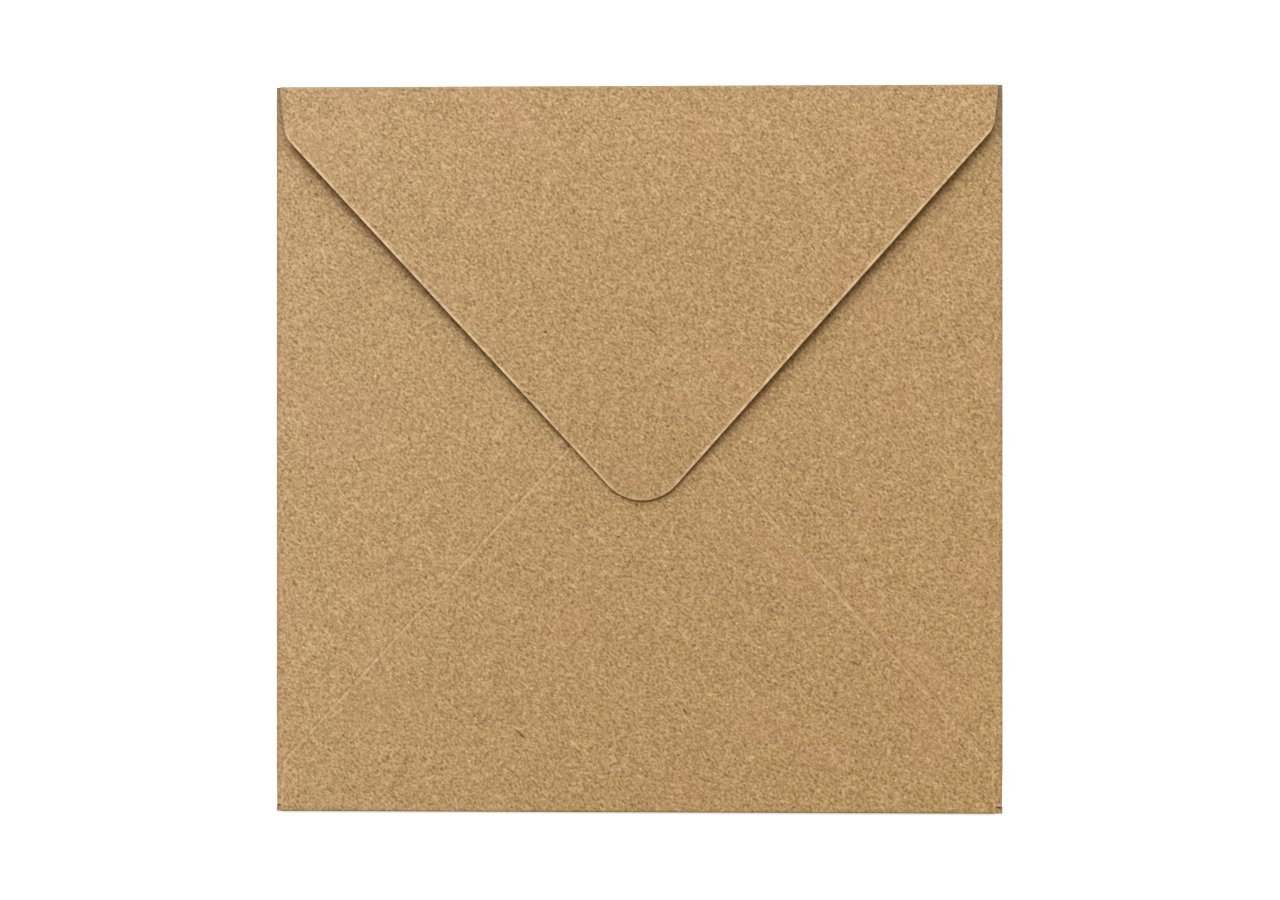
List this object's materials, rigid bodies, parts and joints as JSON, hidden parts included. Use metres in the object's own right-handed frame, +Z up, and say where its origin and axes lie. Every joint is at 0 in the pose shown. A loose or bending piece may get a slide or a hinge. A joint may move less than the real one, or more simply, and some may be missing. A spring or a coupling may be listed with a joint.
{
  "type": "envelope",
  "caption": "Square envelope folded from a sheet of recycled brown kraft paper, with a rounded pointed flap folded shut over a glued pocket.",
  "frame": {"origin": "middle of the face that the envelope lies on, the outside of its address panel", "axes": "+X across the envelope, +Y towards the fold of the top flap, +Z up, out of the flap side"},
  "size_m": [0.155, 0.155, 0.0032],
  "materials": {
    "kraft_paper": "matte"
  },
  "bodies": {
    "root": {"envelope": "kraft_paper"}
  },
  "joints": []
}
